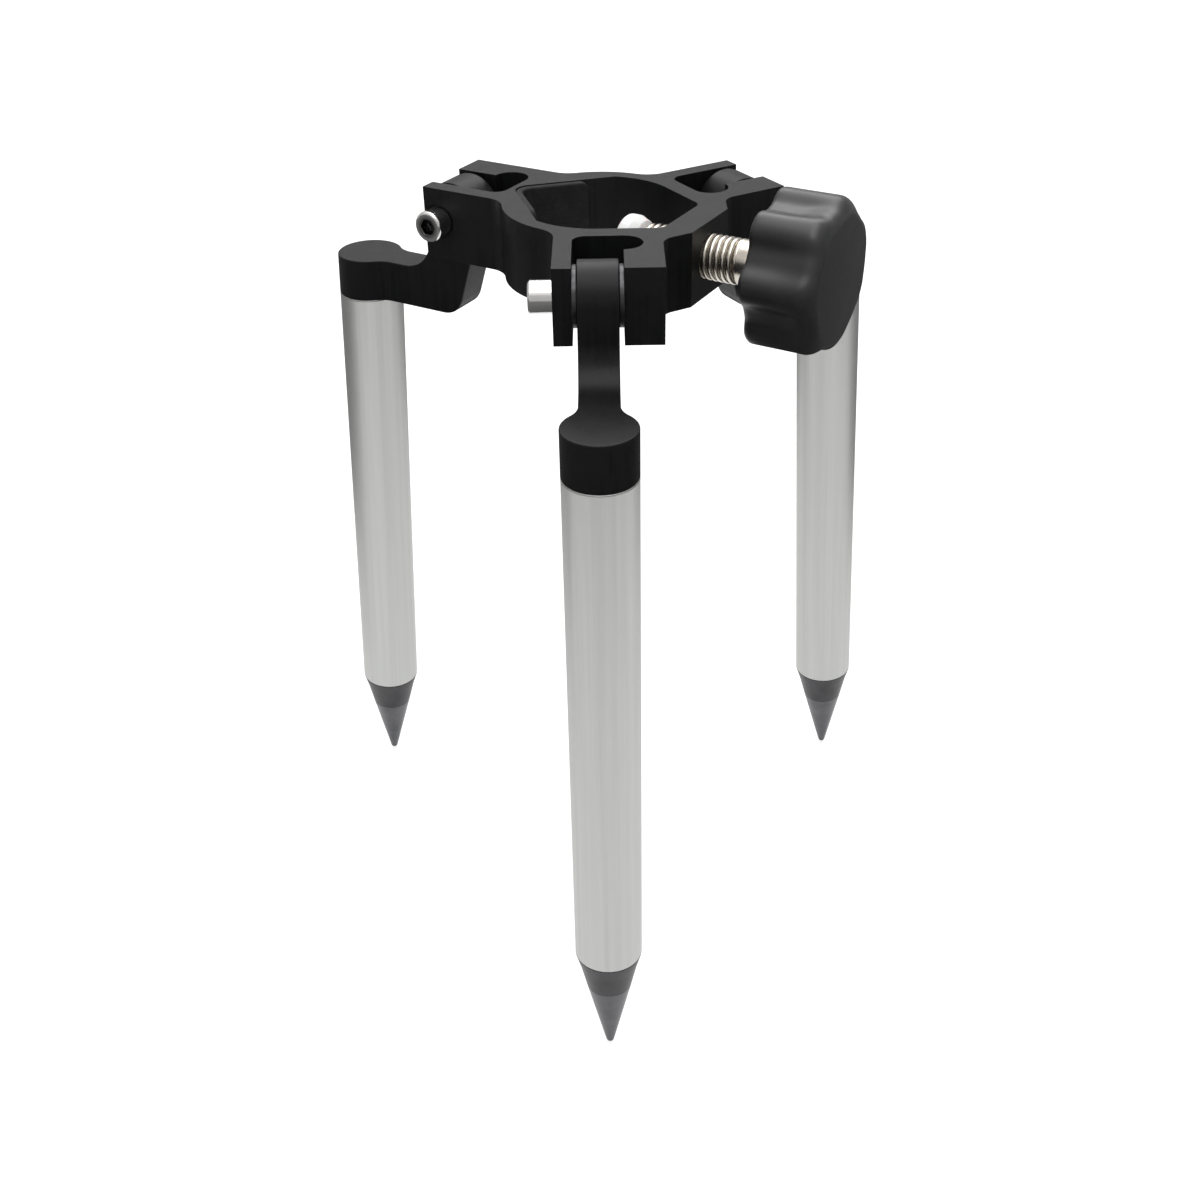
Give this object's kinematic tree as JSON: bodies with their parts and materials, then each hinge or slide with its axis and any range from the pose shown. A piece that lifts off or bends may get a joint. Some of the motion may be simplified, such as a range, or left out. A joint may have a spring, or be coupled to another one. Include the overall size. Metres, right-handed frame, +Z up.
{
  "type": "prism pole tripod",
  "caption": "Small tripod for a prism pole: a black hub with a V seat and a clamp screw with a lobed knob, and hinged tube legs with steel points.",
  "frame": {"origin": "middle of the hub's height on the centre line of its round pole opening", "axes": "+Z up along the pole, the front leg along -Y, the left leg towards -X +Y, the right leg towards +X +Y, the clamp knob between the front and right legs"},
  "size_m": [0.1758, 0.1548, 0.2334],
  "materials": {
    "black_anodised": "black anodised, satin",
    "liner_rubber": "matte, fine pebbled",
    "plated_screw": "nickel plated",
    "white_nylon": "smooth moulded",
    "knob_plastic": "satin moulded",
    "bronze": "turned",
    "tube_aluminium": "clear anodised, satin",
    "dark_collar": "black anodised, turned",
    "point_steel": "dark turned steel",
    "bright_bolt": "polished",
    "washer_steel": "plain stainless"
  },
  "bodies": {
    "hub": {"hub_body": "black_anodised", "v_liner": "liner_rubber", "bolt_front": "bright_bolt", "bolt_left": "bright_bolt", "bolt_right": "bright_bolt", "washer_head_front": "washer_steel", "washer_head_left": "washer_steel", "washer_head_right": "washer_steel", "washer_thread_front": "washer_steel", "washer_thread_left": "washer_steel", "washer_thread_right": "washer_steel"},
    "front_leg": {"arm_front": "black_anodised", "bush_front": "bronze", "tube_front": "tube_aluminium", "collar_front": "dark_collar", "point_front": "point_steel"},
    "left_leg": {"arm_left": "black_anodised", "bush_left": "bronze", "tube_left": "tube_aluminium", "collar_left": "dark_collar", "point_left": "point_steel"},
    "right_leg": {"arm_right": "black_anodised", "bush_right": "bronze", "tube_right": "tube_aluminium", "collar_right": "dark_collar", "point_right": "point_steel"},
    "pad": {"screw_tip": "white_nylon"},
    "screw": {"clamp_screw": "plated_screw", "knob": "knob_plastic"}
  },
  "joints": [
    {"name": "front_hinge", "type": "hinge", "parent": "hub", "child": "front_leg", "pos_m": [0, -0.0442, 0.001], "axis": [-1, 0, 0], "range_deg": [-10, 146]},
    {"name": "left_hinge", "type": "hinge", "parent": "hub", "child": "left_leg", "pos_m": [-0.03828, 0.0221, 0.001], "axis": [0.5, 0.866, 0], "range_deg": [-10, 146]},
    {"name": "right_hinge", "type": "hinge", "parent": "hub", "child": "right_leg", "pos_m": [0.03828, 0.0221, 0.001], "axis": [0.5, -0.866, 0], "range_deg": [-10, 146]},
    {"name": "screw_travel", "type": "slide", "parent": "hub", "child": "pad", "axis": [-0.866, 0.5, 0], "range_m": [-0.0106, 0.0158]},
    {"name": "knob_turn", "type": "hinge", "parent": "pad", "child": "screw", "pos_m": [0, 0, 0.0005], "axis": [-0.866, 0.5, 0], "range_deg": [-2160, 3240]}
  ],
  "couplings": [
    {"joint": "screw_travel", "follows": "knob_turn", "m_per_rad": 0.00027852}
  ]
}
